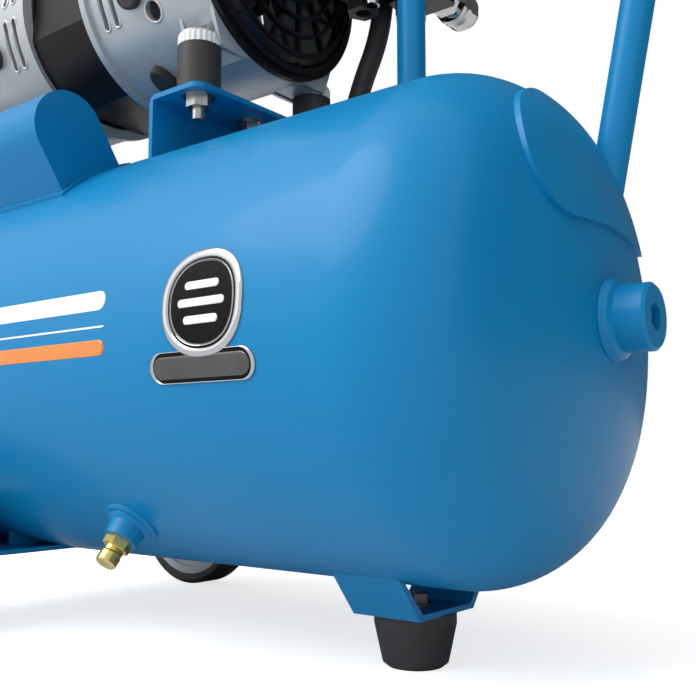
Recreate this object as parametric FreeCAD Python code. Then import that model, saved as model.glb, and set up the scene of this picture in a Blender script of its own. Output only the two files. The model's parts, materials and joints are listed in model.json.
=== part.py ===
import FreeCAD, Part
import os
from math import atan2, cos, degrees, pi, sin, sqrt, tan, radians

# Portable twin-piston air compressor on a 24 litre tank.  Millimetres, +Z up.
# The origin is on the floor under the middle of the whole machine.
# +X runs along the tank to the handle end, -Y is the side with the drain and badge.

# Driving dimensions
TANK_R = 130.0            # outside radius of the tank
TANK_Z = 172.5            # height of the tank's axis
SHEET = 2.5               # tank wall
BARREL_FRONT = 176.0      # weld seam at the handle end
BARREL_REAR = -199.0      # weld seam at the wheel end
HEAD_DEPTH = 72.0         # bulge of a dished head
CROWN_R = 258.0           # crown radius of a dished head
KNUCKLE_R = 59.0          # knuckle radius of a dished head
PLATE = 3.0               # folded steel brackets
PUMP_Z = 420.0            # height of the crankshaft
PUMP_X = -103.0           # middle of the pump
MOUNT_X = 121.0           # rubber mounts, from the pump's middle
MOUNT_Y = 52.0
SADDLE_TOP = 324.0        # upper face of the pump's saddles
MOUNT_H = 26.5            # height of a rubber mount
BELL_R = 74.0             # end bells of the motor
BELL_WALL = 4.0
STATOR_HALF = 30.0        # half length of the stator between the bells
BELL_LEN = 106.0
THROW = 4.0               # eccentric throw of each crank
WHEEL_X = -174.0
WHEEL_R = 60.0
HANDLE_Y = 50.0
TUBE_R = 9.0
HOSE_R = 7.0
PORT_GAP = 0.05           # running clearance on shafts and fits

X = FreeCAD.Vector(1, 0, 0)
Y = FreeCAD.Vector(0, 1, 0)
Z = FreeCAD.Vector(0, 0, 1)


def vec(x, y, z):
    return FreeCAD.Vector(x, y, z)


def rod(r, length, at, axis=Z):
    return Part.makeCylinder(r, length, vec(*at), axis)


def ring(r_out, r_in, length, at, axis=Z):
    margin = 1.0
    inner = vec(*at) - axis * margin
    return rod(r_out, length, at, axis).cut(
        Part.makeCylinder(r_in, length + 2 * margin, inner, axis))


def block(x0, x1, y0, y1, z0, z1):
    return Part.makeBox(x1 - x0, y1 - y0, z1 - z0, vec(x0, y0, z0))


def fuse(shapes):
    shapes = list(shapes)
    whole = shapes[0].multiFuse(shapes[1:]) if len(shapes) > 1 else shapes[0]
    return whole.removeSplitter()


def prism(points, direction):
    wire = Part.makePolygon([vec(*p) for p in points + points[:1]])
    return Part.Face(wire).extrude(direction)


def hexagon(across_flats, height, at, axis=Z):
    radius = across_flats / sqrt(3)
    corners = [vec(radius * cos(k * pi / 3), radius * sin(k * pi / 3), 0) for k in range(7)]
    nut = Part.Face(Part.makePolygon(corners)).extrude(vec(0, 0, height))
    nut.Placement = FreeCAD.Placement(vec(*at), FreeCAD.Rotation(Z, axis))
    return nut


def turned(profile, at, axis):
    """Revolve (radius, height) points about an axis that starts at a point."""
    points = [vec(r, 0, h) for r, h in profile]
    face = Part.Face(Part.makePolygon(points + points[:1]))
    solid = face.revolve(vec(0, 0, 0), Z, 360)
    solid.Placement = FreeCAD.Placement(vec(*at), FreeCAD.Rotation(Z, axis))
    return solid


def bevelled(shape, size, test):
    edges = [e for e in shape.Edges if test(e)]
    return shape.makeChamfer(size, edges) if edges else shape


def rounded(shape, size, test):
    edges = [e for e in shape.Edges if test(e)]
    return shape.makeFillet(size, edges) if edges else shape


def arc_path(points, radii):
    """Straight runs joined by tangent arcs, as one wire."""
    edges = []
    start = points[0]
    for before, corner, after, radius in zip(points, points[1:], points[2:], radii):
        incoming = (corner - before).normalize()
        outgoing = (after - corner).normalize()
        turn = incoming.getAngle(outgoing)
        reach = radius * tan(turn / 2)
        enter = corner - incoming * reach
        leave = corner + outgoing * reach
        towards = (outgoing - incoming).normalize()
        middle = corner + towards * (radius / cos(turn / 2) - radius)
        edges.append(Part.LineSegment(start, enter).toShape())
        edges.append(Part.Arc(enter, middle, leave).toShape())
        start = leave
    edges.append(Part.LineSegment(start, points[-1]).toShape())
    return Part.Wire(edges)


def swept(path, radius):
    first = path.Edges[0]
    circle = Part.makeCircle(radius, first.valueAt(first.FirstParameter),
                             first.tangentAt(first.FirstParameter))
    return path.makePipeShell([Part.Wire(circle)], True, False)


def mirror_pump(shape):
    """The same piece at the other end of the pump."""
    return shape.mirror(vec(PUMP_X, 0, 0), X)


# Tank ---------------------------------------------------------------------

def dished_solid(grow, side):
    """Solid torispherical head, grown outward by an amount."""
    crown_x = HEAD_DEPTH - CROWN_R
    knuckle_r = TANK_R - KNUCKLE_R
    slope = atan2(knuckle_r, -crown_x)
    crown = CROWN_R + grow
    knuckle = KNUCKLE_R + grow
    join = vec(crown_x + crown * cos(slope), 0, crown * sin(slope))
    tip = vec(crown_x + crown, 0, 0)
    on_crown = vec(crown_x + crown * cos(slope / 2), 0, crown * sin(slope / 2))
    half = (slope + pi / 2) / 2
    on_knuckle = vec(knuckle * cos(half), 0, knuckle_r + knuckle * sin(half))
    rim = vec(0, 0, knuckle_r + knuckle)
    edges = [
        Part.LineSegment(vec(0, 0, 0), tip).toShape(),
        Part.Arc(tip, on_crown, join).toShape(),
        Part.Arc(join, on_knuckle, rim).toShape(),
        Part.LineSegment(rim, vec(0, 0, 0)).toShape(),
    ]
    solid = Part.Face(Part.Wire(edges)).revolve(vec(0, 0, 0), X, 360)
    if side < 0:
        solid = solid.mirror(vec(0, 0, 0), X)
    solid.translate(vec(BARREL_FRONT if side > 0 else BARREL_REAR, 0, TANK_Z))
    return solid


def tank_solid(grow):
    length = BARREL_FRONT - BARREL_REAR
    barrel = rod(TANK_R + grow, length, (BARREL_REAR, 0, TANK_Z), X)
    return barrel.fuse([dished_solid(grow, 1), dished_solid(grow, -1)])


TANK_SOLID = tank_solid(0)
PORT_R = 16.0
PLUG_END = 91.5


def tank_barrel():
    port = drain_axis_rod(5.0, 20.0)
    length = BARREL_FRONT - BARREL_REAR
    return ring(TANK_R, TANK_R - SHEET, length, (BARREL_REAR, 0, TANK_Z), X).cut(port)


def tank_head(side):
    shell = dished_solid(0, side).cut(dished_solid(-SHEET, side))
    seam = BARREL_FRONT if side > 0 else BARREL_REAR
    hole = rod(PORT_R - 6, HEAD_DEPTH + 20, (seam, 0, TANK_Z), X * side)
    return shell.cut(hole)


def port_boss(side):
    seam = BARREL_FRONT if side > 0 else BARREL_REAR
    profile = [(10, 60), (PORT_R, 60), (20, 72), (18.6, 75.5), (PORT_R, 77), (PORT_R, 80), (10, 80)]
    boss = turned(profile, (seam, 0, TANK_Z), X * side)
    dish = Part.makeSphere(CROWN_R, vec(seam + side * (HEAD_DEPTH - CROWN_R), 0, TANK_Z))
    return boss.cut(dish)


def port_plug(side):
    seam = BARREL_FRONT if side > 0 else BARREL_REAR
    start = 80.0
    profile = [(0, 62), (9.95, 62), (9.95, start), (PORT_R, start), (PORT_R, 90),
               (14.5, PLUG_END), (0, PLUG_END)]
    plug = turned(profile, (seam, 0, TANK_Z), X * side)
    socket = hexagon(12.0, 10.0, (seam + side * (PLUG_END - 9), 0, TANK_Z), X * side)
    return plug.cut(socket)


# Handle -------------------------------------------------------------------

HANDLE_TOP = 555.0
LEG_FRONT_X = 102.0       # the upright leg
LEG_REAR_FOOT = vec(216.4, HANDLE_Y, 200.0)
LEG_REAR_LEAN = radians(11.5)
HANDLE_BEND = 38.0


# Outline of the doubler plate seen along the tank, from the tank's axis
LEAF = [(-52, 53), (-57, 75), (-44, 100), (-8, 117), (48, 117), (84, 100), (97, 75), (92, 53),
        (55, 43), (-15, 45)]


def handle_points():
    rise = HANDLE_TOP - LEG_REAR_FOOT.z
    corner = vec(LEG_REAR_FOOT.x + rise * tan(LEG_REAR_LEAN), HANDLE_Y, HANDLE_TOP)
    return [vec(LEG_FRONT_X, HANDLE_Y, 270), vec(LEG_FRONT_X, HANDLE_Y, HANDLE_TOP), corner,
            LEG_REAR_FOOT]


def handle_tube():
    path = arc_path(handle_points(), [HANDLE_BEND, HANDLE_BEND])
    tube = swept(path, TUBE_R).cut(swept(path, TUBE_R - 1.8))
    return max(tube.cut(tank_solid(SHEET)).Solids, key=lambda s: s.Volume)


def handle_grip():
    points = handle_points()
    x0 = points[1].x + HANDLE_BEND
    x1 = points[2].x - HANDLE_BEND - 8
    grip = ring(14.0, TUBE_R, x1 - x0, (x0, HANDLE_Y, HANDLE_TOP), X)
    grooves = [ring(16.0, 13.0, 3.0, (x0 + 10 + 8 * k, HANDLE_Y, HANDLE_TOP), X)
               for k in range(int((x1 - x0 - 20) / 8) + 1)]
    return grip.cut(grooves)


def handle_doubler():
    skin = dished_solid(SHEET, 1).cut(dished_solid(0, 1))
    outline = Part.BSplineCurve()
    corners = [vec(BARREL_FRONT + 2, y, TANK_Z + z) for y, z in LEAF]
    outline.interpolate(Points=corners, PeriodicFlag=True)
    leaf = Part.Face(Part.Wire(outline.toShape())).extrude(vec(HEAD_DEPTH, 0, 0))
    return skin.common(leaf)


# Foot, axle and wheels ----------------------------------------------------

FOOT_X = 135.0
FOOT_TOP = 27.5


def channel(x0, x1, half_bottom, half_top, z0, z1):
    """Folded channel with splayed sides, open at the top, trimmed to the tank."""
    t = PLATE
    outline = [(x0, -half_top, z1), (x0, -half_bottom, z0), (x0, half_bottom, z0), (x0, half_top, z1),
               (x0, half_top - t, z1), (x0, half_bottom - t, z0 + t), (x0, -half_bottom + t, z0 + t),
               (x0, -half_top + t, z1)]
    return prism(outline, vec(x1 - x0, 0, 0)).cut(TANK_SOLID)


def foot_bracket():
    bracket = channel(FOOT_X - 21, FOOT_X + 20, 26, 47, FOOT_TOP, FOOT_TOP + 26)
    return bracket.cut(rod(4.2, 10, (FOOT_X, 0, FOOT_TOP - 2)))


def rubber_foot():
    profile = [(4.5, 0), (14.5, 0), (17.3, 2.2), (18, 5), (21.75, 22), (21.75, FOOT_TOP), (4.5, FOOT_TOP)]
    foot = turned(profile, (FOOT_X, 0, 0), Z)
    return foot.cut(rod(10.0, 7.0, (FOOT_X, 0, 0)))


def foot_bolt():
    head = hexagon(13.0, 5.0, (FOOT_X, 0, 0.9))
    washer = ring(9.0, 3.9, 1.0, (FOOT_X, 0, 5.9))
    shank = rod(4.0, 36.0 - 2.0, (FOOT_X, 0, 2.0))
    upper = rod(9.0, 1.5, (FOOT_X, 0, FOOT_TOP + PLATE))
    nut = hexagon(13.0, 5.0, (FOOT_X, 0, FOOT_TOP + PLATE + 1.5))
    return fuse([head, washer, shank, upper, nut])


AXLE_HALF = 100.0         # the bracket's ears
WHEEL_IN = 120.0
WHEEL_W = 25.0


def axle_bracket():
    plate = block(WHEEL_X - 50, WHEEL_X + 50, -AXLE_HALF, AXLE_HALF, 45, 45 + PLATE)
    ears = [block(WHEEL_X - 26, WHEEL_X + 26, s * AXLE_HALF - PLATE / 2, s * AXLE_HALF + PLATE / 2, 45, 74)
            for s in (-1, 1)]
    webs = [block(WHEEL_X - 26, WHEEL_X - 26 + PLATE, -AXLE_HALF, AXLE_HALF, 45, 95),
            block(WHEEL_X + 23, WHEEL_X + 26, -60, 60, 45, 95)]
    bracket = fuse([plate] + ears + webs).cut(TANK_SOLID)
    bracket = bracket.cut(rod(6.1, 260, (WHEEL_X, -130, WHEEL_R), Y))
    return max(bracket.Solids, key=lambda s: s.Volume)


def axle_pin(side):
    """Stub axle bolted through an ear of the bracket."""
    pin = rod(6.0, WHEEL_IN + WHEEL_W - 90, (WHEEL_X, side * 92, WHEEL_R), Y * side)
    nut = hexagon(18.0, 5.0, (WHEEL_X, side * (AXLE_HALF - 7), WHEEL_R), Y * side)
    collar = rod(10.0, 12.0, (WHEEL_X, side * (AXLE_HALF + 1.6), WHEEL_R), Y * side)
    cap = rod(9.0, 3.0, (WHEEL_X, side * (WHEEL_IN + WHEEL_W + 0.6), WHEEL_R), Y * side)
    return fuse([pin, nut, collar, cap])


def wheel_disc(side):
    y0 = side * WHEEL_IN
    hub = ring(14.0, 6.0 + PORT_GAP, WHEEL_W, (WHEEL_X, y0, WHEEL_R), Y * side)
    web = ring(50.0, 12.0, 5.0, (WHEEL_X, y0 + side * 4, WHEEL_R), Y * side)
    rim = ring(52.0, 46.0, WHEEL_W - 3, (WHEEL_X, y0 + side * 1.5, WHEEL_R), Y * side)
    return fuse([hub, web, rim])


def wheel_tyre(side):
    y0 = side * WHEEL_IN
    profile = [(52, 1), (57, 0), (WHEEL_R, 3), (WHEEL_R, WHEEL_W - 3), (57, WHEEL_W), (52, WHEEL_W - 1)]
    tyre = turned(profile, (WHEEL_X, y0, WHEEL_R), Y * side)
    grooves = [ring(WHEEL_R + 2, WHEEL_R - 1.5, 1.6, (WHEEL_X, y0 + side * g, WHEEL_R), Y * side)
               for g in (7, 12, 17)]
    return tyre.cut(grooves)


# Drain --------------------------------------------------------------------

DRAIN_X = 4.0
DRAIN_TILT = radians(50.5)  # below the horizontal, on the -Y side


def drain_out():
    return vec(0, -cos(DRAIN_TILT), -sin(DRAIN_TILT))


def drain_at(distance):
    point = vec(DRAIN_X, 0, TANK_Z) + drain_out() * distance
    return (point.x, point.y, point.z)


def drain_axis_rod(radius, length):
    return rod(radius, length, drain_at(TANK_R - 10), drain_out())


def drain_boss():
    profile = [(5, -4), (14, -4), (13, 2), (10.5, 4), (9.5, 12), (5, 12)]
    return turned(profile, drain_at(TANK_R), drain_out()).cut(TANK_SOLID)


def drain_valve():
    stem = rod(4.95, 14.0, drain_at(TANK_R), drain_out())
    flange = hexagon(13.5, 5.0, drain_at(TANK_R + 12), drain_out())
    neck = rod(5.5, 3.0, drain_at(TANK_R + 17), drain_out())
    bore = rod(2.0, 30.0, drain_at(TANK_R - 1), drain_out())
    return fuse([stem, flange, neck]).cut(bore)


def drain_knob():
    profile = [(0, 0.3), (5.2, 0.3), (5.9, 1.2), (5.9, 6.2), (4.9, 7.2), (0, 7.2)]
    return turned(profile, drain_at(TANK_R + 20), drain_out())


# Pump saddles, mounts and capacitor ---------------------------------------

STUD_FRONT = PUMP_X + MOUNT_X
SADDLE_IN = STUD_FRONT - 29.0     # outer face of the folded flange
SADDLE_OUT = STUD_FRONT + 13.0
BELL_FOOT = SADDLE_TOP + MOUNT_H  # underside of the pump's feet


def stud_places():
    for sx in (STUD_FRONT, 2 * PUMP_X - STUD_FRONT):
        for sy in (-MOUNT_Y, MOUNT_Y):
            yield sx, sy


def saddle_front():
    half = 65.0
    top = block(SADDLE_IN, SADDLE_OUT, -half, half, SADDLE_TOP - PLATE, SADDLE_TOP)
    top = rounded(top, 7.0, lambda e: e.BoundBox.ZLength > PLATE / 2 and e.BoundBox.XMin > SADDLE_IN + 1)
    flange = block(SADDLE_IN, SADDLE_IN + PLATE, -half, half, 255, SADDLE_TOP)
    saddle = fuse([top, flange])
    saddle = rounded(saddle, 5.0, lambda e: abs(e.BoundBox.XMin - SADDLE_IN) < 0.01
                     and abs(e.BoundBox.XMax - SADDLE_IN) < 0.01
                     and abs(e.BoundBox.ZMin - SADDLE_TOP) < 0.01)
    holes = [rod(4.1, 12, (STUD_FRONT, y, SADDLE_TOP - 8)) for y in (-MOUNT_Y, MOUNT_Y)]
    return saddle.cut(holes + [TANK_SOLID])


def rubber_mounts():
    return [ring(13.0, 4.05, MOUNT_H - 0.4, (x, y, SADDLE_TOP + 0.2)) for x, y in stud_places()]


def mount_stud(x, y):
    low = SADDLE_TOP - PLATE
    stud = rod(4.0, 56.0, (x, y, low - 15))
    washer = rod(10.0, 1.2, (x, y, low - 1.2))
    nut = hexagon(13.0, 6.5, (x, y, low - 7.7))
    collar = hexagon(13.0, 2.4, (x, y, BELL_FOOT + FOOT_BOSS_H + 0.05))
    return fuse([stud, washer, nut, collar])


HOOD_X0 = -175.0
HOOD_X1 = -60.0
HOOD_TILT = radians(123.5)  # direction of the hood from the tank's axis
HOOD_HALF = 24.7
HOOD_CROWN = 160.0        # centre of the hood's round top, from the tank's axis


def hood_solid(x0, x1, half):
    """Arch with a round top, standing on the tank's shoulder."""
    side = 2.5
    arch = rod(half, x1 - x0, (x0, side, HOOD_CROWN), X)
    legs = block(x0, x1, side - half, side + half, 118, HOOD_CROWN)
    solid = arch.fuse(legs)
    solid.rotate(vec(0, 0, 0), X, degrees(HOOD_TILT) - 90)
    solid.translate(vec(0, 0, TANK_Z))
    return solid


def capacitor_hood():
    wall = 1.6
    outer = hood_solid(HOOD_X0, HOOD_X1, HOOD_HALF)
    inner = hood_solid(HOOD_X0 + wall, HOOD_X1 - wall, HOOD_HALF - wall)
    edge = 5.0
    flange = hood_solid(HOOD_X0 - edge, HOOD_X1 + edge, HOOD_HALF + edge).common(tank_solid(wall))
    return fuse([outer, flange]).cut([inner, TANK_SOLID])


def capacitor():
    can = rod(19.0, 86.0, (HOOD_X0 + 14, 2.5, HOOD_CROWN - 2), X)
    posts = [rod(2.5, 9.0, (HOOD_X0 + 99, 2.5 + dy, HOOD_CROWN - 2), X) for dy in (-7, 7)]
    strap = ring(21.0, 19.0, 10.0, (HOOD_X0 + 50, 2.5, HOOD_CROWN - 2), X)
    post = block(HOOD_X0 + 50, HOOD_X0 + 60, -3, 8, 120, HOOD_CROWN - 22)
    unit = fuse([can, strap, post] + posts)
    unit.rotate(vec(0, 0, 0), X, degrees(HOOD_TILT) - 90)
    unit.translate(vec(0, 0, TANK_Z))
    return unit.cut(TANK_SOLID)


# Pump: the front half is modelled and mirrored to the other end ------------

BELL_X0 = PUMP_X + STATOR_HALF
BELL_X1 = BELL_X0 + BELL_LEN
CYL_X = BELL_X0 + 56.0    # crank throw and cylinder of the front half
BORE_R = 25.0
DECK_Z = PUMP_Z + 82.0    # top of the bell's cylinder seat
CYL_TOP = DECK_Z + 26.0
GUARD_R = 70.7


SLOT_ROWS = (16.5, 26.5)          # middles of the vent slots, from the bell's rim
SLOT_ANGLES = (200, 165, 15, -20)  # round the crankshaft from +Y
HOLE_ROW = 60.0
HOLE_ANGLE = -33.0


FOOT_BOSS_R = 12.2        # round boss on each rubber mount
FOOT_BOSS_H = 7.5
RIB_T = 2.5               # rib on each side of a boss


def foot_rib(x):
    """Rib across the bell that spreads upwards from the bosses to the bell."""
    low = MOUNT_Y - 4
    high = MOUNT_Y + 5
    top = BELL_FOOT + 24
    outline = [(x, -low, BELL_FOOT), (x, low, BELL_FOOT), (x, high, top), (x, -high, top)]
    return prism(outline, vec(RIB_T, 0, 0))


def bell():
    body = ring(BELL_R, BELL_R - BELL_WALL, BELL_LEN, (BELL_X0, 0, PUMP_Z), X)
    rim = ring(BELL_R + 3, BELL_R - 0.5, 5.0, (BELL_X0, 0, PUMP_Z), X)
    web = rod(BELL_R - 1, 4.0, (BELL_X0 + 20, 0, PUMP_Z), X)
    housing = rod(19.0, 16.0, (BELL_X0 + 18, 0, PUMP_Z), X)
    seat = block(CYL_X - 33, CYL_X + 33, -36, 36, PUMP_Z + 50, DECK_Z)
    seat = seat.cut(rod(BELL_R - BELL_WALL, 90, (CYL_X - 45, 0, PUMP_Z), X))
    foot = block(STUD_FRONT - 9, STUD_FRONT + 9, -MOUNT_Y, MOUNT_Y, BELL_FOOT, BELL_FOOT + 5)
    bosses = [rod(FOOT_BOSS_R, FOOT_BOSS_H, (STUD_FRONT, y, BELL_FOOT)) for y in (-MOUNT_Y, MOUNT_Y)]
    ribs = [foot_rib(x) for x in (STUD_FRONT - FOOT_BOSS_R - RIB_T, STUD_FRONT + FOOT_BOSS_R)]
    inside = rod(BELL_R - BELL_WALL, BELL_LEN - 24, (BELL_X0 + 24, 0, PUMP_Z), X)
    foot_parts = [p.cut(inside) for p in [foot] + bosses + ribs]
    whole = fuse([body, rim, web, housing, seat] + foot_parts)
    cuts = [rod(16.0 + PORT_GAP, 12.0, (BELL_X0 + 18, 0, PUMP_Z), X),
            rod(11.0, 60.0, (BELL_X0 - 1, 0, PUMP_Z), X),
            rod(BORE_R + 2.5, 60.0, (CYL_X, 0, PUMP_Z + 40))]
    cuts += [rod(4.0 + PORT_GAP, 20, (STUD_FRONT, y, BELL_FOOT - 5)) for y in (-MOUNT_Y, MOUNT_Y)]
    cuts += [vent_slot(angle, row) for angle in SLOT_ANGLES for row in SLOT_ROWS]
    cuts += [rod(6.5, 100, (BELL_X0 + HOLE_ROW, 0, PUMP_Z), vec(0, cos(a), sin(a)))
             for a in (radians(180 - HOLE_ANGLE), radians(HOLE_ANGLE))]
    return whole.cut(cuts)


def vent_slot(angle, row):
    """Slot round the bell, between the rim and the crankcase."""
    half = 13
    width = 4.6
    outer = ring(BELL_R + 5, BELL_R - 8, width, (BELL_X0 + row - width / 2, 0, PUMP_Z), X)
    reach = 120.0
    spread = [(BELL_X0, 0, PUMP_Z)]
    for a in (angle - half, angle + half):
        spread.append((BELL_X0, reach * cos(radians(a)), PUMP_Z + reach * sin(radians(a))))
    return outer.common(prism(spread, vec(60, 0, 0)))


def stator():
    x0 = PUMP_X - STATOR_HALF
    size = 68.0
    pack = block(x0, x0 + 2 * STATOR_HALF, -size, size, PUMP_Z - size, PUMP_Z + size)
    pack = bevelled(pack, 26.0, lambda e: e.BoundBox.XLength > 2 * STATOR_HALF - 1)
    pack = pack.common(rod(BELL_R - 0.2, 2 * STATOR_HALF, (x0, 0, PUMP_Z), X))
    return pack.cut(rod(34.0, 80, (x0 - 5, 0, PUMP_Z), X))


def windings():
    ends = [ring(52.0, 36.0, 12.0, (PUMP_X + s * STATOR_HALF + (0.1 if s > 0 else -12.1), 0, PUMP_Z), X)
            for s in (-1, 1)]
    return [bevelled(e, 3.0, lambda c: c.Length > 250) for e in ends]


def motor_shaft():
    half = BELL_X0 - PUMP_X + 98.0
    return rod(7.0, 2 * half, (PUMP_X - half, 0, PUMP_Z), X)


def rotor():
    core = ring(33.4, 7.0 + 0.02, 56.0, (PUMP_X - 28, 0, PUMP_Z), X)
    ends = [ring(30.0, 20.0, 5.0, (PUMP_X + dx, 0, PUMP_Z), X) for dx in (-33, 28)]
    return fuse([core] + ends)


def bearings():
    front = ring(16.0, 7.0 + 0.02, 11.0, (BELL_X0 + 18.5, 0, PUMP_Z), X)
    return [front, mirror_pump(front)]


def eccentric(side):
    """Crank throw: the front one points up and the rear one down."""
    disc = rod(13.0, 20.0, (CYL_X - 10, 0, PUMP_Z + side * THROW), X)
    weight = rod(24.0, 8.0, (CYL_X + 14, 0, PUMP_Z), X)
    below, above = (30, 8) if side > 0 else (8, 30)
    keep = block(CYL_X, CYL_X + 40, -30, 30, PUMP_Z - below, PUMP_Z + above)
    spacer = rod(10.0, 4.5, (CYL_X + 9.9, 0, PUMP_Z), X)
    throw = fuse([disc, spacer, weight.common(keep)])
    return throw.cut(rod(7.02, 60, (CYL_X - 20, 0, PUMP_Z), X))


def piston_rod(side):
    """Rod and cupped piston in one piece, hung on the throw."""
    z = PUMP_Z + side * THROW
    big_end = ring(19.0, 13.0 + PORT_GAP, 14.0, (CYL_X - 7, 0, z), X)
    beam = block(CYL_X - 5, CYL_X + 5, -8, 8, z + 16, CYL_TOP - 14 + side * THROW)
    cup = turned([(0, 0), (BORE_R - THROW - 1.5, 0), (BORE_R - THROW - 0.6, 7), (0, 7)],
                 (CYL_X, 0, CYL_TOP - 16 + side * THROW), Z)
    return fuse([big_end, beam, cup])


def cylinder():
    sleeve = ring(BORE_R + 2.3, BORE_R, CYL_TOP - DECK_Z + 14, (CYL_X, 0, DECK_Z - 14))
    flange = ring(34.0, BORE_R + 1, 4.0, (CYL_X, 0, DECK_Z + 0.05))
    fins = [ring(33.0, BORE_R + 1, 2.0, (CYL_X, 0, DECK_Z + 8 + 5 * k)) for k in range(4)]
    return fuse([sleeve, flange] + fins)


def cylinder_head():
    plate = block(CYL_X - 36, CYL_X + 36, -36, 36, CYL_TOP + 0.05, CYL_TOP + 22)
    plate = rounded(plate, 8.0, lambda e: e.BoundBox.ZLength > 20)
    gaps = [block(CYL_X - 40, CYL_X + 40, y - 2, y + 2, CYL_TOP + 12, CYL_TOP + 30)
            for y in range(-28, 29, 8)]
    port = rod(6.0, 14, (CYL_X - 38, 0, CYL_TOP + 7), X)
    chamber = rod(18.0, 6, (CYL_X, 0, CYL_TOP))
    seats = [rod(5.5, 20, (CYL_X + dx, dy, CYL_TOP + 12)) for dx, dy in head_bolt_places()]
    holes = [rod(2.6, 20, (CYL_X + dx, dy, CYL_TOP - 2)) for dx, dy in head_bolt_places()]
    return plate.cut(gaps + [port, chamber] + seats + holes)


def head_bolt_places():
    return [(dx, dy) for dx in (-27, 27) for dy in (-24, 24)]


def head_bolts():
    bolts = []
    for dx, dy in head_bolt_places():
        head = hexagon(8.0, 4.0, (CYL_X + dx, dy, CYL_TOP + 12.05))
        shank = rod(2.5, 10.0, (CYL_X + dx, dy, CYL_TOP + 3))
        bolts.append(head.fuse(shank))
    return bolts + [mirror_pump(b) for b in bolts]


def intake_filters():
    pot = turned([(0, 0), (5, 0), (5, 6), (14, 9), (16, 12), (16, 26), (13, 30), (0, 30)],
                 (CYL_X + 16, -36, CYL_TOP + 7), Y * -1)
    slots = [block(CYL_X - 4, CYL_X + 36, -70, -48, CYL_TOP + 7 + dz - 0.8, CYL_TOP + 7 + dz + 0.8)
             for dz in (-8, 0, 8)]
    pot = pot.cut([s.cut(rod(14.5, 60, (CYL_X + 16, -90, CYL_TOP + 7), Y)) for s in slots])
    return [pot, mirror_pump(pot)]


def crossover_pipe():
    length = 2 * (CYL_X - 36 - PUMP_X)
    return ring(6.0 - PORT_GAP, 4.0, length + 8, (2 * PUMP_X - CYL_X + 32, 0, CYL_TOP + 7), X)


FAN_X = BELL_X1 - 9.0


def fan():
    hub = ring(14.0, 7.02, 16.0, (FAN_X - 8, 0, PUMP_Z), X)
    blades = []
    for k in range(7):
        blade = block(-7, 7, -1.2, 1.2, 12, 60)
        blade.rotate(vec(0, 0, 0), Z, 38)
        blade.rotate(vec(0, 0, 0), X, k * 360 / 7)
        blade.translate(vec(FAN_X, 0, PUMP_Z))
        blades.append(blade)
    return fuse([hub] + blades)


def fan_guard():
    """Domed grille of rings and slanted spokes in front of the fan."""
    x = BELL_X1
    collar = ring(GUARD_R - 0.75, GUARD_R - 4.5, 14.0, (x - 7, 0, PUMP_Z), X)
    lip = ring(GUARD_R + 3, GUARD_R - 9, 4.0, (x + 0.1, 0, PUMP_Z), X)
    rings = [ring(r, r - 2.2, 3.5, (x + 8 + lift, 0, PUMP_Z), X)
             for r, lift in ((60, 0), (49, 2), (38, 3.5), (27, 4.5))]
    boss = rod(17.0, 4.0, (x + 12.5, 0, PUMP_Z), X)
    spokes = []
    for k in range(14):
        run = sqrt(8.0 ** 2 + 52.0 ** 2)
        spoke = block(-1.8, 1.8, -1.2, 1.2, 0, run)
        spoke.rotate(vec(0, 0, 0), Y, degrees(atan2(8.0, 52.0)) * -1)
        spoke.translate(vec(x + 13.6, 0, 14))
        spoke.rotate(vec(0, 0, 14), X, -18)
        spoke.rotate(vec(0, 0, 0), X, k * 360 / 14)
        spoke.translate(vec(0, 0, PUMP_Z))
        spokes.append(spoke)
    cone = turned([(GUARD_R - 3, 2), (GUARD_R - 9, 9), (GUARD_R - 12.5, 10), (GUARD_R - 12.5, 7.5),
                   (GUARD_R - 10, 4)], (x, 0, PUMP_Z), X)
    return fuse([collar, lip, cone, boss] + rings + spokes)


# Air line -----------------------------------------------------------------

RISER_X = 82.0
RISER_Y = 80.0
BLOCK_Z0 = 409.0
BLOCK_Z1 = 437.0
COUPLER_X = 95.0
COUPLER_Z = 419.0
CHECK_X = 28.0
CHECK_Y = 72.0
CHECK_TOP = 303.0

HOSE_ROUTE = [(CHECK_X, CHECK_Y, CHECK_TOP), (35, 73, 330), (45, 73, 360), (59, 74, 390),
              (63, 76, 422), (62, 74, 456), (54, 66, 486), (40, 54, 506), (26, 46, 515)]


def hose_path():
    points = [vec(*p) for p in HOSE_ROUTE]
    radii = []
    for a, b, c in zip(points, points[1:], points[2:]):
        turn = (b - a).getAngle(c - b)
        radii.append(0.45 * min((b - a).Length, (c - b).Length) / tan(turn / 2))
    return arc_path(points, radii), radii


def discharge_hose():
    path, radii = hose_path()
    print("hose length %.0f, radii" % path.Length, [round(r) for r in radii])
    return swept(path, HOSE_R)


def hose_direction(end):
    points = [vec(*p) for p in HOSE_ROUTE]
    step = points[1] - points[0] if end == 0 else points[-1] - points[-2]
    return step.normalize()


def check_valve():
    out = hose_direction(0)
    top = vec(CHECK_X, CHECK_Y, CHECK_TOP)
    body = hexagon(20.0, 20.0, tuple(top - out * 23), out)
    ferrule = rod(9.0, 3.0, tuple(top - out * 3), out)
    stem = rod(9.0, 26.0, tuple(top - out * 46), out)
    return fuse([body, ferrule, stem]).cut(TANK_SOLID)


def discharge_elbow():
    out = hose_direction(1)
    end = vec(*HOSE_ROUTE[-1])
    ferrule = rod(9.5, 8.0, tuple(end), out)
    middle = end + out * 8
    ball = Part.makeSphere(7.9, middle)
    target = vec(CYL_X + 10, 36.05, CYL_TOP + 7)
    run = target - middle
    neck = rod(7.0, run.Length, tuple(middle), run.normalize())
    wall = block(CYL_X - 60, CYL_X + 60, -40, 36.05, CYL_TOP - 20, CYL_TOP + 50)
    return fuse([ferrule, ball, neck]).cut(wall)


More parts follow.
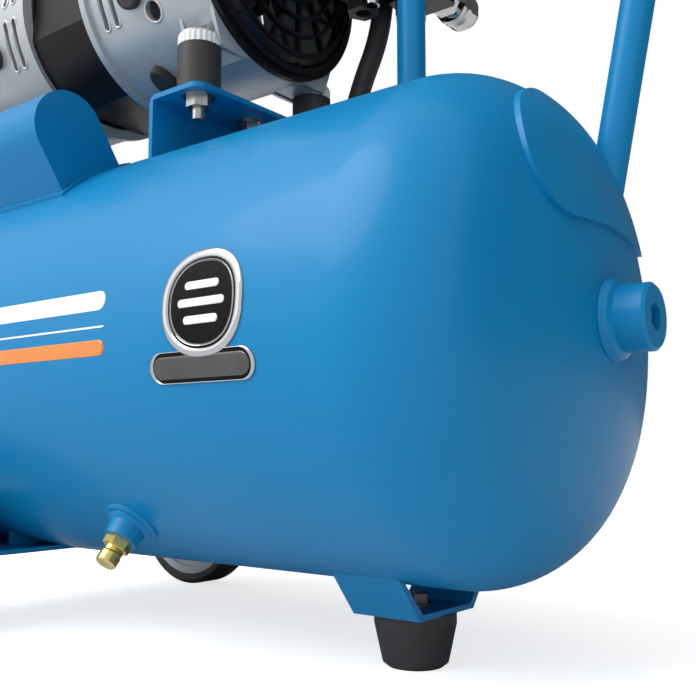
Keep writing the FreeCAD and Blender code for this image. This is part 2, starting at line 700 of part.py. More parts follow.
def riser_pipe():
    pipe = ring(7.0, 4.5, BLOCK_Z0 - 260 + 4, (RISER_X, RISER_Y, 260)).cut(TANK_SOLID)
    nut = hexagon(20.0, 8.0, (RISER_X, RISER_Y, BLOCK_Z0 - 8))
    nut = nut.cut(rod(6, 20, (RISER_X, RISER_Y, BLOCK_Z0 - 12)))
    socket = ring(11.0, 6.0, 12.0, (RISER_X, RISER_Y, 270)).cut(TANK_SOLID)
    return fuse([pipe, nut, socket])


def manifold():
    body = block(RISER_X - 10, RISER_X + 26, RISER_Y - 14, RISER_Y + 16, BLOCK_Z0, BLOCK_Z1)
    body = bevelled(body, 2.0, lambda e: e.BoundBox.ZLength > 20)
    neck = ring(15.0, 8.0, 8.0, (RISER_X + 9, RISER_Y + 1, BLOCK_Z1))
    drill = rod(7.0 + PORT_GAP, 8.0, (RISER_X, RISER_Y, BLOCK_Z0 - 2))
    way = rod(5.0, 18.0, (COUPLER_X, RISER_Y + 2, COUPLER_Z), Y)
    return fuse([body, neck]).cut([drill, way])


def regulator_knob():
    x, y, z = RISER_X + 9, RISER_Y + 1, BLOCK_Z1 + 8.5
    knob = turned([(0, 0), (15.5, 0), (17, 2), (16, 20), (13, 23), (0, 23)], (x, y, z), Z)
    flutes = [rod(1.8, 18, (x + 17.6 * cos(k * pi / 9), y + 17.6 * sin(k * pi / 9), z + 3))
              for k in range(18)]
    stem = rod(6.0, 9.0, (x, y, z - 8.4))
    return fuse([knob.cut(flutes), stem])


GAUGE_X = RISER_X + 26.0
GAUGE_Y = RISER_Y + 1.0
GAUGE_Z = 424.0
GAUGE_FACE = GAUGE_X + 31.0


def gauge_case():
    stem = rod(5.0, 9.0, (GAUGE_X, GAUGE_Y, GAUGE_Z), X)
    case = rod(20.0, 22.0, (GAUGE_X + 9, GAUGE_Y, GAUGE_Z), X)
    dish = rod(18.2, 8.0, (GAUGE_FACE - 7, GAUGE_Y, GAUGE_Z), X)
    return fuse([stem, case]).cut(dish)


def gauge_needle():
    needle = block(GAUGE_FACE - 5.4, GAUGE_FACE - 4.6, GAUGE_Y - 0.8, GAUGE_Y + 0.8,
                   GAUGE_Z - 4, GAUGE_Z + 15)
    hub = rod(2.6, 2.0, (GAUGE_FACE - 6, GAUGE_Y, GAUGE_Z), X)
    return fuse([needle, hub])


def gauge_lens():
    return rod(18.1, 1.4, (GAUGE_FACE - 2.6, GAUGE_Y, GAUGE_Z), X)


def coupler_body():
    start = RISER_Y + 16.05
    hexa = hexagon(19.0, 10.0, (COUPLER_X, start, COUPLER_Z), Y)
    barrel = rod(8.5, 28.0, (COUPLER_X, start + 10, COUPLER_Z), Y)
    stem = rod(4.95, 8.0, (COUPLER_X, start - 8, COUPLER_Z), Y)
    mouth = rod(5.0, 30.0, (COUPLER_X, start + 14, COUPLER_Z), Y)
    return fuse([hexa, barrel, stem]).cut(mouth)


def coupler_sleeve():
    start = RISER_Y + 16.05 + 14
    profile = [(8.5 + PORT_GAP, 0), (12, 0), (12.6, 3), (11.6, 6), (12.6, 9), (12.6, 17), (11.4, 19),
               (8.5 + PORT_GAP, 19)]
    return turned(profile, (COUPLER_X, start, COUPLER_Z), Y)


SWITCH = (52.0, 89.0, 22.0, 58.0, 408.0, 470.0)


def pressure_switch():
    x0, x1, y0, y1, z0, z1 = SWITCH
    case = block(x0, x1, y0, y1, z0, z1)
    case = rounded(case, 5.0, lambda e: e.BoundBox.ZLength > 40)
    case = rounded(case, 2.0, lambda e: abs(e.BoundBox.ZMin - z1) < 0.01)
    neck = rod(6.0, RISER_Y - 14 - y1 + 2, (RISER_X, y1 - 2, 420.0), Y)
    bore = rod(4.0, 14.0, ((x0 + x1) / 2, (y0 + y1) / 2, z1 - 12))
    hollow = block(x0 + 2, x1 - 2, y0 + 2, y1 - 2, z0 + 2, z1 - 14)
    collar = ring(10.0, 5.0, 2.0, ((x0 + x1) / 2, (y0 + y1) / 2, z1))
    return fuse([case, neck, collar]).cut([bore, hollow])


def switch_knob():
    x0, x1, y0, y1, z0, z1 = SWITCH
    at = ((x0 + x1) / 2, (y0 + y1) / 2, z1 - 9)
    stem = 4 - PORT_GAP
    return turned([(0, 0), (stem, 0), (stem, 12), (11, 14), (12, 17), (12, 30), (10, 33), (0, 33)], at, Z)


def cable_gland():
    """Dome nut with an open bore, where the mains lead would go in."""
    at = (67.0, 46.0, 408.0)
    nut = hexagon(19.0, 12.0, at, Z * -1)
    return nut.cut(rod(5.0, 16, (at[0], at[1], at[2] - 14)))


def vent_pipe():
    at = (80.0, 38.0, 394.0)
    return ring(5.0, 3.4, 14.0, at)


SAFETY = (RISER_X - 10.0, RISER_Y + 11.5, 425.0)


def safety_valve():
    x, y, z = SAFETY
    body = hexagon(10.0, 8.0, (x, y, z), X * -1)
    stem = rod(4.2, 16.0, (x - 8, y, z), X * -1)
    return fuse([body, stem]).cut(rod(1.8, 26, (x - 4, y, z), X * -1))


def safety_ring():
    x, y, z = SAFETY
    stem = rod(1.7, 12.0, (x - 16.4, y, z), X * -1)
    loop = Part.makeTorus(6.0, 1.2, vec(x - 33.9, y, z), Y)
    return fuse([stem, loop])


# Everything, by node name --------------------------------------------------

def pieces():
    yield "tank_barrel", tank_barrel()
    yield "tank_head_front", tank_head(1)
    yield "tank_head_rear", tank_head(-1)
    yield "welded_ports", [port_boss(1), port_boss(-1), drain_boss()]
    yield "port_plugs", [port_plug(1), port_plug(-1)]
    yield "handle_doubler", handle_doubler()
    yield "handle_tube", handle_tube()
    yield "handle_grip", handle_grip()
    yield "foot_bracket", foot_bracket()
    yield "rubber_foot", rubber_foot()
    yield "foot_bolt", foot_bolt()
    yield "axle_bracket", axle_bracket()
    yield "axle_pins", [axle_pin(-1), axle_pin(1)]
    for name, side in (("near", -1), ("far", 1)):
        yield "wheel_" + name, wheel_disc(side)
        yield "tyre_" + name, wheel_tyre(side)
    yield "drain_valve", drain_valve()
    yield "drain_knob", drain_knob()
    yield "pump_saddle_front", saddle_front()
    yield "pump_saddle_rear", mirror_pump(saddle_front())
    yield "rubber_mounts", rubber_mounts()
    yield "mount_studs", [mount_stud(x, y) for x, y in stud_places()]
    yield "capacitor_hood", capacitor_hood()
    yield "capacitor", capacitor()
    yield "bell_front", bell()
    yield "bell_rear", mirror_pump(bell())
    yield "stator", stator()
    yield "windings", windings()
    yield "motor_shaft", motor_shaft()
    yield "rotor", rotor()
    yield "bearings", bearings()
    yield "eccentrics", [eccentric(1), mirror_pump(eccentric(-1))]
    yield "piston_front", piston_rod(1)
    yield "piston_rear", mirror_pump(piston_rod(-1))
    yield "cylinders", [cylinder(), mirror_pump(cylinder())]
    yield "cylinder_heads", [cylinder_head(), mirror_pump(cylinder_head())]
    yield "head_bolts", head_bolts()
    yield "intake_filters", intake_filters()
    yield "crossover_pipe", crossover_pipe()
    yield "fans", [fan(), mirror_pump(fan())]
    yield "fan_guard_front", fan_guard()
    yield "fan_guard_rear", mirror_pump(fan_guard())
    yield "discharge_hose", discharge_hose()
    yield "check_valve", check_valve()
    yield "discharge_elbow", discharge_elbow()
    yield "riser_pipe", riser_pipe()
    yield "manifold", manifold()
    yield "regulator_knob", regulator_knob()
    yield "gauge_case", gauge_case()
    yield "gauge_needle", gauge_needle()
    yield "gauge_lens", gauge_lens()
    yield "coupler_body", coupler_body()
    yield "coupler_sleeve", coupler_sleeve()
    yield "pressure_switch", pressure_switch()
    yield "switch_knob", switch_knob()
    yield "cable_gland", cable_gland()
    yield "vent_pipe", vent_pipe()
    yield "safety_valve", safety_valve()
    yield "safety_ring", safety_ring()


os.makedirs("parts", exist_ok=True)
for name, shape in pieces():
    if isinstance(shape, list):
        shape = Part.makeCompound(shape)
    shape.exportStep("parts/%s.step" % name)
    box = shape.BoundBox
    print("%-18s solids %d valid %s  x %.0f %.0f  y %.0f %.0f  z %.0f %.0f" % (
        name, len(shape.Solids), shape.isValid(),
        box.XMin, box.XMax, box.YMin, box.YMax, box.ZMin, box.ZMax))
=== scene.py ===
import bmesh
import bpy
import json
from math import atan, cos, pi, radians, sin
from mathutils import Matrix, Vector


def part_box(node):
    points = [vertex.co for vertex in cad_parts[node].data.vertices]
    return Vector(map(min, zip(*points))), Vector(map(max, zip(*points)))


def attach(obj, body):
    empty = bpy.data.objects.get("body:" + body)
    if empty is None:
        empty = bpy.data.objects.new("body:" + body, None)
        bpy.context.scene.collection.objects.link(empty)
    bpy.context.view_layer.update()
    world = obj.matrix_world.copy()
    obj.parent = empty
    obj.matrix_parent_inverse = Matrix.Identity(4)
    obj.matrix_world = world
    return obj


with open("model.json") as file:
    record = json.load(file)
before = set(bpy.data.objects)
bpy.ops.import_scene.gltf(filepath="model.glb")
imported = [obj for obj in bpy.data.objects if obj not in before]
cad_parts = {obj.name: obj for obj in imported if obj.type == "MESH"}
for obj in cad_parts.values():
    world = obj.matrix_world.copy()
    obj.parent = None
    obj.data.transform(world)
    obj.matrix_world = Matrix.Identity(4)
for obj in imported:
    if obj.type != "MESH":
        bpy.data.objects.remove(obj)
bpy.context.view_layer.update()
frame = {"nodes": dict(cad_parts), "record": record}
MM = 0.001


def place(node):
    """Middle and half size of a CAD node."""
    low, high = (Vector(corner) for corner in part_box(node))
    return (low + high) / 2, (high - low) / 2


TANK, TANK_HALF = place("tank_barrel")
TANK_R = TANK_HALF.y
STATOR, STATOR_HALF = place("stator")
PUMP_X = STATOR.x
PUMP_Z = STATOR.z
RIM_STEP = 3 * MM                     # the bell's rim stands this far out from its wall
BELL_R = place("bell_front")[1].y - RIM_STEP
SLOT_ROWS = (16.5 * MM, 26.5 * MM)    # vent slots in the bell, from its rim
SLOT_ANGLES = (-20, 15, 165, 200)     # from the -Y side, upward
HOLE_ROW = 60 * MM
HOLE_ANGLES = (("near", -33), ("far", 213))
SADDLE_PLATE = 3 * MM
MOUNT_R = 13 * MM                     # rubber mount
COLLAR_R = 12.4 * MM


# Camera, light and floor ---------------------------------------------------

def add_camera():
    """Low three-quarter view of the drain side and the handle end."""
    data = bpy.data.cameras.new("camera")
    data.lens = 46.9
    data.sensor_width = 36.0
    data.clip_start = 0.01
    camera = bpy.data.objects.new("camera", data)
    forward = Vector((-0.609, 0.786, 0.108)).normalized()
    camera.rotation_euler = forward.to_track_quat("-Z", "Y").to_euler()
    camera.location = TANK + Vector((TANK_HALF.x + 0.231, -0.409, -0.059))
    bpy.context.scene.collection.objects.link(camera)
    bpy.context.scene.camera = camera


def add_area(name, at, target, size, power):
    data = bpy.data.lights.new(name, "AREA")
    data.shape = "RECTANGLE"
    data.size, data.size_y = size
    data.energy = power
    light = bpy.data.objects.new(name, data)
    light.location = at
    light.rotation_euler = (Vector(target) - Vector(at)).to_track_quat("-Z", "Y").to_euler()
    bpy.context.scene.collection.objects.link(light)


def add_sun(name, direction, strength, spread):
    data = bpy.data.lights.new(name, "SUN")
    data.energy = strength
    data.angle = radians(spread)
    sun = bpy.data.objects.new(name, data)
    sun.rotation_euler = Vector(direction).to_track_quat("-Z", "Y").to_euler()
    bpy.context.scene.collection.objects.link(sun)


def add_world():
    """White backdrop; as light, bright from the front and above and dim behind the machine."""
    world = bpy.data.worlds.new("studio")
    bpy.context.scene.world = world
    world.use_nodes = True
    nodes = world.node_tree.nodes
    links = world.node_tree.links
    background = nodes["Background"]
    direction = nodes.new("ShaderNodeTexCoord")
    split = nodes.new("ShaderNodeSeparateXYZ")
    links.new(direction.outputs["Generated"], split.inputs["Vector"])
    behind = nodes.new("ShaderNodeMath")
    behind.operation = "MULTIPLY_ADD"
    behind.inputs[1].default_value = 2.05
    links.new(split.outputs["Y"], behind.inputs[0])
    lower = nodes.new("ShaderNodeMath")
    lower.operation = "SUBTRACT"
    links.new(behind.outputs["Value"], lower.inputs[0])
    links.new(split.outputs["Z"], lower.inputs[1])
    edge = nodes.new("ShaderNodeMapRange")
    edge.inputs["From Min"].default_value = -0.02
    edge.inputs["From Max"].default_value = 0.02
    edge.inputs["To Min"].default_value = 0.80
    edge.inputs["To Max"].default_value = 0.10
    links.new(lower.outputs["Value"], edge.inputs["Value"])
    path = nodes.new("ShaderNodeLightPath")
    level = nodes.new("ShaderNodeMath")
    level.operation = "MAXIMUM"
    links.new(edge.outputs["Result"], level.inputs[0])
    links.new(path.outputs["Is Camera Ray"], level.inputs[1])
    links.new(level.outputs["Value"], background.inputs["Strength"])
    background.inputs["Color"].default_value = (1.0, 1.0, 1.0, 1)


def add_floor():
    mesh = bpy.data.meshes.new("studio_floor")
    reach = 5.0
    corners = [(-reach, -reach, 0), (reach, -reach, 0), (reach, reach, 0), (-reach, reach, 0)]
    mesh.from_pydata(corners, [], [(0, 1, 2, 3)])
    floor = bpy.data.objects.new("studio_floor", mesh)
    bpy.context.scene.collection.objects.link(floor)
    pale = surface("floor_paint", (0.72, 0.72, 0.72), 0.6, patch=(3.0, 0.01), bump=(300, 0.02),
                   specular=0.0)
    shader = pale.node_tree.nodes["Principled BSDF"]
    shader.inputs["Emission Color"].default_value = (1, 1, 1, 1)
    path = pale.node_tree.nodes.new("ShaderNodeLightPath")
    glow = pale.node_tree.nodes.new("ShaderNodeMath")
    glow.operation = "MULTIPLY"
    glow.inputs[1].default_value = 0.72
    pale.node_tree.links.new(path.outputs["Is Camera Ray"], glow.inputs[0])
    pale.node_tree.links.new(glow.outputs["Value"], shader.inputs["Emission Strength"])
    mesh.materials.append(pale)


# Materials -----------------------------------------------------------------

def surface(name, colour, rough, metal=0.0, coat=0.0, patch=(40.0, 0.06), spread=0.08, bump=(900.0, 0.05),
            stretch=(1, 1, 1), specular=0.5):
    """Principled surface: patchy colour, uneven roughness and fine relief."""
    material = bpy.data.materials.new(name)
    material.use_nodes = True
    nodes = material.node_tree.nodes
    links = material.node_tree.links
    shader = nodes["Principled BSDF"]
    shader.inputs["Metallic"].default_value = metal
    shader.inputs["Coat Weight"].default_value = coat
    shader.inputs["Coat Roughness"].default_value = 0.06
    shader.inputs["Specular IOR Level"].default_value = specular
    coordinates = nodes.new("ShaderNodeTexCoord")
    mapping = nodes.new("ShaderNodeMapping")
    mapping.inputs["Scale"].default_value = stretch
    links.new(coordinates.outputs["Object"], mapping.inputs["Vector"])

    def noise(scale, detail=4.0):
        node = nodes.new("ShaderNodeTexNoise")
        node.inputs["Scale"].default_value = scale
        node.inputs["Detail"].default_value = detail
        links.new(mapping.outputs["Vector"], node.inputs["Vector"])
        return node.outputs["Fac"]

    ramp = nodes.new("ShaderNodeValToRGB")
    low, high = ramp.color_ramp.elements
    low.position, high.position = 0.3, 0.7
    low.color = [c * (1 - patch[1]) for c in colour] + [1]
    high.color = [min(1.0, c * (1 + patch[1])) for c in colour] + [1]
    links.new(noise(patch[0]), ramp.inputs["Fac"])
    links.new(ramp.outputs["Color"], shader.inputs["Base Color"])
    uneven = nodes.new("ShaderNodeMapRange")
    uneven.inputs["From Min"].default_value = 0.3
    uneven.inputs["From Max"].default_value = 0.7
    uneven.inputs["To Min"].default_value = max(0.02, rough - spread / 2)
    uneven.inputs["To Max"].default_value = rough + spread / 2
    links.new(noise(patch[0] * 3), uneven.inputs["Value"])
    links.new(uneven.outputs["Result"], shader.inputs["Roughness"])
    relief = nodes.new("ShaderNodeBump")
    relief.inputs["Distance"].default_value = 0.0004
    relief.inputs["Strength"].default_value = bump[1]
    links.new(noise(bump[0], 2.0), relief.inputs["Height"])
    links.new(relief.outputs["Normal"], shader.inputs["Normal"])
    return material


def make_materials():
    return {
        "blue_paint": surface("blue_paint", (0.002, 0.215, 0.480), 0.36, coat=0.08, patch=(9.0, 0.02),
                              spread=0.03, bump=(520.0, 0.012), specular=0.22),
        "black_rubber": surface("black_rubber", (0.036, 0.036, 0.036), 0.50, patch=(60.0, 0.15),
                                bump=(1500.0, 0.25), specular=0.4),
        "zinc_steel": surface("zinc_steel", (0.40, 0.40, 0.39), 0.28, metal=1.0, patch=(90.0, 0.14),
                              bump=(700.0, 0.06)),
        "grey_plastic": surface("grey_plastic", (0.60, 0.62, 0.64), 0.38, patch=(30.0, 0.04),
                                bump=(1300.0, 0.10)),
        "tyre_rubber": surface("tyre_rubber", (0.020, 0.020, 0.021), 0.55, patch=(70.0, 0.25),
                               bump=(1400.0, 0.35), specular=0.4),
        "brass": surface("brass", (0.80, 0.62, 0.20), 0.24, metal=1.0, patch=(80.0, 0.12),
                         bump=(500.0, 0.08)),
        "cast_aluminium": surface("cast_aluminium", (0.48, 0.52, 0.54), 0.36, metal=0.35,
                                  patch=(26.0, 0.06), spread=0.08, bump=(1100.0, 0.14)),
        "black_steel": surface("black_steel", (0.006, 0.006, 0.007), 0.36, patch=(40.0, 0.2),
                               bump=(800.0, 0.08), specular=0.22),
        "copper": surface("copper", (0.70, 0.30, 0.13), 0.35, metal=0.9, stretch=(8, 1, 1),
                          patch=(120.0, 0.3), bump=(600.0, 0.6)),
        "ground_steel": surface("ground_steel", (0.52, 0.52, 0.53), 0.25, metal=1.0, stretch=(10, 1, 1),
                                patch=(120.0, 0.12), bump=(900.0, 0.15)),
        "black_plastic": surface("black_plastic", (0.016, 0.016, 0.017), 0.40, patch=(60.0, 0.15),
                                 bump=(1600.0, 0.15), specular=0.4),
        "dark_casting": surface("dark_casting", (0.020, 0.020, 0.021), 0.38, metal=0.0, patch=(70.0, 0.15),
                                bump=(900.0, 0.25)),
        "chrome": surface("chrome", (0.60, 0.61, 0.62), 0.10, metal=1.0, patch=(60.0, 0.05), spread=0.06,
                          bump=(300.0, 0.02)),
        "red_plastic": surface("red_plastic", (0.50, 0.02, 0.015), 0.30, coat=0.3, patch=(50.0, 0.1),
                               bump=(1300.0, 0.08)),
        "clear_lens": lens_glass(),
    }


def lens_glass():
    material = surface("clear_lens", (0.95, 0.97, 0.98), 0.05, patch=(30.0, 0.02), spread=0.04,
                       bump=(200.0, 0.01))
    material.node_tree.nodes["Principled BSDF"].inputs["Transmission Weight"].default_value = 0.95
    return material


def paint_frame(materials):
    for row in frame["record"]["subparts"]:
        mesh = frame["nodes"][row["node"]].data
        mesh.materials.clear()
        mesh.materials.append(materials[row["material_slot"]])
    dark = surface("dark_bolt", (0.10, 0.10, 0.105), 0.35, metal=0.8, patch=(90.0, 0.14),
                   bump=(700.0, 0.06))
    frame["nodes"]["foot_bolt"].data.materials[0] = dark


# Mesh helpers --------------------------------------------------------------

def piece(name, vertices, faces, material, smooth=True):
    """Closed mesh that rides on the root body."""
    mesh = bpy.data.meshes.new(name)
    mesh.from_pydata([tuple(v) for v in vertices], [], faces)
    work = bmesh.new()
    work.from_mesh(mesh)
    bmesh.ops.remove_doubles(work, verts=work.verts, dist=1e-7)
    bmesh.ops.recalc_face_normals(work, faces=work.faces)
    work.to_mesh(mesh)
    work.free()
    for polygon in mesh.polygons:
        polygon.use_smooth = smooth
    mesh.materials.append(material)
    thing = bpy.data.objects.new(name, mesh)
    bpy.context.scene.collection.objects.link(thing)
    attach(thing, "root")
    return thing


def on_drum(centre, radius):
    """Maps (along, arc, lift) to a point on a drum along X; arc 0 is its -Y side and grows upward."""
    def to_point(along, arc, lift):
        angle = arc / radius
        reach = radius + lift
        return Vector((centre.x + along, centre.y - reach * cos(angle), centre.z + reach * sin(angle)))
    return to_point


def closed_tube(name, path, radius, material, sides=8):
    """Round bead along a closed path of points with their outward normals."""
    vertices, faces = [], []
    count = len(path)
    for k, (point, normal) in enumerate(path):
        tangent = (path[(k + 1) % count][0] - path[k - 1][0]).normalized()
        across = tangent.cross(normal).normalized()
        for s in range(sides):
            a = 2 * pi * s / sides
            vertices.append(point + normal * (radius * cos(a)) + across * (radius * sin(a)))
    for k in range(count):
        for s in range(sides):
            a = k * sides + s
            b = k * sides + (s + 1) % sides
            c = ((k + 1) % count) * sides + (s + 1) % sides
            d = ((k + 1) % count) * sides + s
            faces.append((a, b, c, d))
    return piece(name, vertices, faces, material)


def oval(half_x, half_y, count=64, power=2.0):
    """Outline points of a superellipse."""
    points = []
    for k in range(count):
        a = 2 * pi * k / count
        c, s = cos(a), sin(a)
        points.append((half_x * (1 if c >= 0 else -1) * abs(c) ** (2 / power),
                       half_y * (1 if s >= 0 else -1) * abs(s) ** (2 / power)))
    return points


def pill(half_x, half_y, count=16):
    """Outline of a bar with round ends."""
    points = []
    for side in (1, -1):
        for k in range(count + 1):
            a = -pi / 2 + pi * k / count
            points.append((side * (half_x - half_y + half_y * cos(a)), side * half_y * sin(a)))
    return points


def scaled(outline, factor):
    return [(x * factor, y * factor) for x, y in outline]


def plate(name, outline, at, lift, thick, to_point, material, inner=None):
    """Thin plate wrapped on a drum; a smaller inner outline leaves a ring."""
    count = len(outline)
    vertices, faces = [], []
    steps = [(1.0, 0.0), (1.0, thick * 0.7), (0.97, thick)]
    if inner is None:
        steps += [(f, thick) for f in (0.75, 0.5, 0.25)]
    else:
        steps += [(inner * 1.03, thick), (inner, thick * 0.7), (inner, 0.0)]
    for factor, rise in steps:
        for x, y in outline:
            vertices.append(to_point(at[0] + x * factor, at[1] + y * factor, lift + rise))
    for row in range(len(steps) - 1):
        for k in range(count):
            a = row * count + k
            b = row * count + (k + 1) % count
            faces.append((a, b, b + count, a + count))
    if inner is None:
        vertices.append(to_point(at[0], at[1], lift + thick))
        last = (len(steps) - 1) * count
        for k in range(count):
            faces.append((last + k, last + (k + 1) % count, len(vertices) - 1))
    return piece(name, vertices, faces, material)


# Badge and stripes on the tank ---------------------------------------------

def add_badge(materials):
    """Plain oval badge with three bars, a blank plate under it, and three stripes."""
    wall = on_drum(TANK, TANK_R)
    middle_x = TANK_HALF.x - 71 * MM
    black = surface("badge_black", (0.006, 0.006, 0.007), 0.45, patch=(300.0, 0.5), bump=(900, 0.05),
                    specular=0.08)
    white = surface("print_white", (0.86, 0.87, 0.88), 0.32, coat=0.3, patch=(50.0, 0.02), bump=(900, 0.03))
    orange = surface("print_orange", (0.80, 0.25, 0.045), 0.32, coat=0.3, patch=(50.0, 0.03),
                     bump=(900, 0.03))
    gunmetal = surface("badge_gunmetal", (0.13, 0.13, 0.135), 0.22, metal=0.9, patch=(60.0, 0.1),
                       bump=(300.0, 0.02))
    ring_at = (middle_x + 2 * MM, 6 * MM)
    outline = oval(26 * MM, 25 * MM, power=2.3)
    plate("badge_field", scaled(outline, 0.9), ring_at, 0, 0.5 * MM, wall, black)
    plate("badge_ring", outline, ring_at, 0, 1.1 * MM, wall, materials["chrome"], inner=0.84)
    plate("badge_rim", scaled(outline, 0.80), ring_at, 0.5 * MM, 0.3 * MM, wall, materials["chrome"],
          inner=0.95)
    for k, half in enumerate((11, 15, 11)):
        bar_at = (ring_at[0], ring_at[1] + (8 - 8 * k) * MM)
        plate("badge_bar_%d" % k, pill(half * MM, 1.9 * MM), bar_at, 0.5 * MM, 0.4 * MM, wall, white)
    pill_at = (middle_x, -23 * MM)
    plate("badge_pill_black", pill(34 * MM, 7.5 * MM), pill_at, 0, 0.4 * MM, wall, black)
    plate("badge_pill_rim", pill(34 * MM, 7.5 * MM), pill_at, 0.1 * MM, 0.8 * MM, wall, materials["chrome"],
          inner=0.93)
    plate("badge_pill_face", pill(31 * MM, 5.3 * MM), pill_at, 0.4 * MM, 0.5 * MM, wall, gunmetal)
    stripes = (("stripe_white_upper", 14, 5.0, white), ("stripe_white_thin", 0.5, 0.5, white),
               ("stripe_orange", -10, 4.0, orange))
    for name, height, half, material in stripes:
        stripe_at = (TANK_HALF.x - 205 * MM, height * MM)
        plate(name, pill(66 * MM, half * MM), stripe_at, 0, 0.12 * MM, wall, material)


# Details on the pump -------------------------------------------------------

def bead_round(name, to_point, outline, at, lift, radius, material):
    """Round bead along an outline on a drum."""
    path = []
    for x, y in outline:
        point = to_point(at[0] + x, at[1] + y, lift)
        normal = (to_point(at[0] + x, at[1] + y, lift + 1.0) - point).normalized()
        path.append((point, normal))
    return closed_tube(name, path, radius, material)


def add_bell_details(materials):
    """Raised lips round the vent slots and holes, and rubber plugs, on both bells."""
    metal = surface("lip_aluminium", (0.62, 0.63, 0.64), 0.30, metal=0.5, patch=(60.0, 0.05),
                    bump=(900.0, 0.1))
    slot_lip = pill_up(17.6 * MM, 2.9 * MM)
    hole_lip = oval(6.9 * MM, 6.9 * MM, 32)
    rubber = materials["black_rubber"]
    for end, sign in (("front", 1), ("rear", -1)):
        seam = Vector((PUMP_X + sign * STATOR_HALF.x, 0, PUMP_Z))
        wall = on_drum(seam, BELL_R)
        for angle in SLOT_ANGLES:
            for number, row in enumerate(SLOT_ROWS):
                at = (sign * row, radians(angle) * BELL_R)
                name = "%s_slot_lip_%d_%d" % (end, angle % 360, number)
                bead_round(name, wall, slot_lip, at, 0, 0.9 * MM, metal)
        for side, angle in HOLE_ANGLES:
            at = (sign * HOLE_ROW, radians(angle) * BELL_R)
            bead_round("%s_hole_lip_%s" % (end, side), wall, hole_lip, at, 0, 1.0 * MM, metal)
        round_at = (sign * 46 * MM, radians(-22) * BELL_R)
        plate(end + "_round_plug", oval(9 * MM, 9 * MM, 32), round_at, 0, 5 * MM, wall, rubber)
        oval_at = (sign * 37 * MM, radians(-66) * BELL_R)
        plate(end + "_oval_plug", oval(7 * MM, 12 * MM, 32), oval_at, 0, 6 * MM, wall, rubber)


def toothed_ring(name, base, radius, height, teeth, material):
    """Short upright ring with shallow teeth round it."""
    depth = 0.5 * MM
    profile = [(0.72, 0.0), (1.0, 0.0), (1.0, height * 0.8), (0.94, height), (0.72, height)]
    count = teeth * 4
    vertices, faces = [], []
    for factor, rise in profile:
        for k in range(count):
            a = 2 * pi * k / count
            r = factor * radius + (depth if factor == 1.0 and k % 4 < 2 else 0.0)
            vertices.append(Vector(base) + Vector((r * cos(a), r * sin(a), rise)))
    rows = len(profile)
    for row in range(rows):
        for k in range(count):
            a, b = row * count + k, row * count + (k + 1) % count
            c, d = ((row + 1) % rows) * count + (k + 1) % count, ((row + 1) % rows) * count + k
            faces.append((a, b, c, d))
    return piece(name, vertices, faces, material, smooth=False)


def add_foot_collars():
    """Pale knurled collars round the bosses of the pump's feet."""
    pale = surface("collar_white", (0.80, 0.81, 0.81), 0.45, patch=(80.0, 0.03), bump=(1200.0, 0.1))
    middle, half = place("rubber_mounts")
    reach = half - Vector((MOUNT_R, MOUNT_R, 0))
    corners = (("front_near", 1, -1), ("front_far", 1, 1), ("rear_near", -1, -1), ("rear_far", -1, 1))
    for name, sx, sy in corners:
        base = (middle.x + sx * reach.x, middle.y + sy * reach.y, middle.z + half.z + 0.2 * MM)
        toothed_ring(name + "_foot_collar", base, COLLAR_R, 7.2 * MM, 24, pale)


def add_centre_nut(materials):
    """Nut and washer under the middle of the front saddle."""
    middle, half = place("pump_saddle_front")
    under = Vector((middle.x, 0, middle.z + half.z - SADDLE_PLATE))
    vertices, faces = [], []
    count = 24
    # radius and height in millimetres, and whether the section is a hexagon
    rows = ((9.0, 0.0, False), (9.0, -1.2, False), (7.2, -1.2, True), (7.2, -6.6, True),
            (6.4, -7.4, True), (3.6, -7.4, False), (3.6, -13.0, False), (0.0, -13.4, False))
    side = pi / 3
    for radius, rise, hexagonal in rows:
        for k in range(count):
            a = 2 * pi * k / count
            flat = cos(side / 2) / cos(a % side - side / 2) if hexagonal else 1.0
            vertices.append(under + Vector((radius * flat * cos(a), radius * flat * sin(a), rise)) * MM)
    for row in range(len(rows) - 1):
        for k in range(count):
            a, b = row * count + k, row * count + (k + 1) % count
            faces.append((a, b, b + count, a + count))
    faces.append(tuple(range(count)))
    piece("saddle_centre_nut", vertices, faces, materials["zinc_steel"], smooth=False)


def pill_up(half_y, half_x):
    """Outline of a bar with round ends that runs round the drum."""
    return [(y, x) for x, y in pill(half_y, half_x)]


def circle_bead(name, centre, axis, radius, bead, material, count=48):
    """Round bead along a circle about an axis."""
    turn = Vector(axis).to_track_quat("Z", "Y").to_matrix()
    path = []
    for k in range(count):
        a = 2 * pi * k / count
        outward = turn @ Vector((cos(a), sin(a), 0))
        path.append((Vector(centre) + outward * radius, outward))
    return closed_tube(name, path, bead, material)


def add_welds(materials):
    """Painted weld beads round the ports and the drain."""
    paint = materials["blue_paint"]
    wall = on_drum(TANK, TANK_R)
    drain = place("drain_valve")[0]
    angle = atan((drain.z - TANK.z) / -drain.y)
    drain_at = (drain.x - TANK.x, angle * TANK_R)
    bead_round("drain_weld", wall, oval(14 * MM, 14 * MM, 40), drain_at, 0, 2.2 * MM, paint)
    boss, half = place("welded_ports")
    for name, sign in (("front", 1), ("rear", -1)):
        at = Vector((boss.x + sign * (half.x - 11 * MM), 0, TANK.z))
        circle_bead(name + "_port_weld", at, (1, 0, 0), 20 * MM, 2.4 * MM, paint)


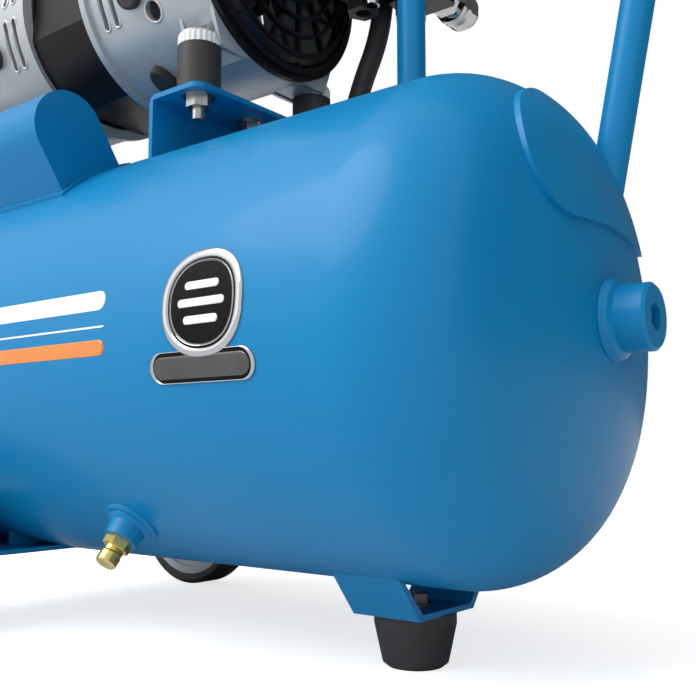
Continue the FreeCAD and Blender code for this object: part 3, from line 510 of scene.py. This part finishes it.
def add_dial(materials):
    """White gauge face with plain ticks."""
    middle, half = place("gauge_case")
    face_x = middle.x + half.x - 6.6 * MM
    white = surface("dial_white", (0.85, 0.85, 0.83), 0.45, patch=(90.0, 0.02), bump=(900.0, 0.02))
    black = surface("dial_black", (0.02, 0.02, 0.02), 0.45, patch=(90.0, 0.1), bump=(900.0, 0.02))
    centre = Vector((face_x, middle.y, middle.z))
    disc(centre, 18.0 * MM, white)
    for k in range(21):
        a = radians(225 - 270 * k / 20)
        outward = Vector((0, cos(a), sin(a)))
        across = Vector((0, -sin(a), cos(a)))
        length, half_width = (4.5 * MM, 0.5 * MM) if k % 5 == 0 else (2.5 * MM, 0.25 * MM)
        outer = centre + Vector((0.25 * MM, 0, 0)) + outward * 16.5 * MM
        inner = outer - outward * length
        corners = [outer + across * half_width, outer - across * half_width, inner - across * half_width,
                   inner + across * half_width]
        back = [c - Vector((0.2 * MM, 0, 0)) for c in corners]
        faces = [(0, 1, 2, 3), (4, 5, 6, 7)] + [(i, (i + 1) % 4, (i + 1) % 4 + 4, i + 4) for i in range(4)]
        piece("dial_tick_%02d" % k, corners + back, faces, black, smooth=False)


def disc(centre, radius, material, count=48):
    """Thin round plate facing +X with a slightly raised rim."""
    profile = [(0.0, 0.0), (0.96, 0.0), (0.98, 0.4 * MM), (1.0, 0.0), (1.0, -0.5 * MM), (0.0, -0.5 * MM)]
    vertices, faces = [], []
    for factor, rise in profile:
        for k in range(count):
            a = 2 * pi * k / count
            vertices.append(centre + Vector((rise, radius * factor * cos(a), radius * factor * sin(a))))
    for row in range(len(profile) - 1):
        for k in range(count):
            a = row * count + k
            b = row * count + (k + 1) % count
            faces.append((a, b, b + count, a + count))
    return piece("gauge_dial", vertices, faces, material, smooth=False)


add_camera()
add_world()
add_sun("key_sun", (0.45, 0.80, -1.0), 2.3, 50)
add_area("side_softbox", (-1.3, -1.5, 0.9), (-0.05, 0.0, 0.25), (1.0, 1.2), 2.5)
bpy.context.scene.view_settings.view_transform = "Standard"
add_floor()
MATERIALS = make_materials()
paint_frame(MATERIALS)
add_badge(MATERIALS)
add_bell_details(MATERIALS)
add_foot_collars()
add_centre_nut(MATERIALS)
add_welds(MATERIALS)
add_dial(MATERIALS)
